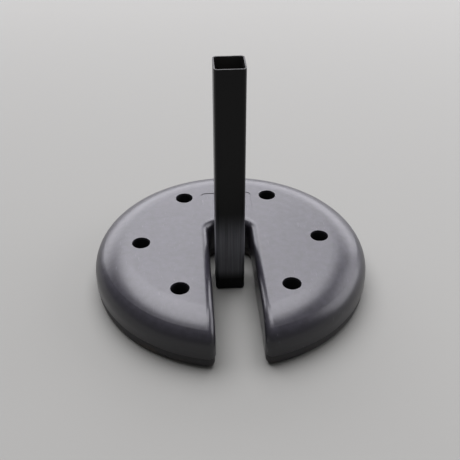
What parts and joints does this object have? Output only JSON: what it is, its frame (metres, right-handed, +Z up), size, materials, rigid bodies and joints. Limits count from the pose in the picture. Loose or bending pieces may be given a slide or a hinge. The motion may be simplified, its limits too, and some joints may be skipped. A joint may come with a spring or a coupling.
{
  "type": "slotted leg weight with leg end",
  "caption": "Round slotted black leg weight with stake holes, a domed shell over a cast filling, and the square tube leg that slides in its slot.",
  "frame": {"origin": "centre of the round plate on the ground plane", "axes": "+Z up, +Y away from the mouth of the slot, +X to the right seen from the mouth"},
  "size_m": [0.3048, 0.3011, 0.268],
  "materials": {
    "shell_plastic": "satin black moulded polyethylene, fine grain",
    "tray_plastic": "satin black moulded polyethylene",
    "sleeve_plastic": "black extruded polyethylene",
    "cement": "grey cast cement, rough",
    "screw_steel": "zinc-plated steel",
    "plug_plastic": "satin black plastic",
    "gasket_rubber": "soft black rubber",
    "leg_paint": "black powder coat on steel tube",
    "foot_plastic": "black moulded nylon",
    "rivet_aluminium": "plain aluminium"
  },
  "bodies": {
    "weight_plate": {"upper_shell": "shell_plastic", "base_tray": "tray_plastic", "ballast_fill": "cement", "base_screws": "screw_steel", "fill_plug": "plug_plastic", "plug_gasket": "gasket_rubber", "stake_sleeve_rear_left": "sleeve_plastic", "stake_sleeve_rear_right": "sleeve_plastic", "stake_sleeve_mid_left": "sleeve_plastic", "stake_sleeve_mid_right": "sleeve_plastic", "stake_sleeve_front_left": "sleeve_plastic", "stake_sleeve_front_right": "sleeve_plastic"},
    "leg": {"leg_tube": "leg_paint", "leg_foot_cap": "foot_plastic", "foot_rivet": "rivet_aluminium"}
  },
  "joints": [
    {"name": "leg_slide", "type": "slide", "parent": "weight_plate", "child": "leg", "axis": [0, -1, 0], "range_m": [-0.026, 0.17]}
  ]
}
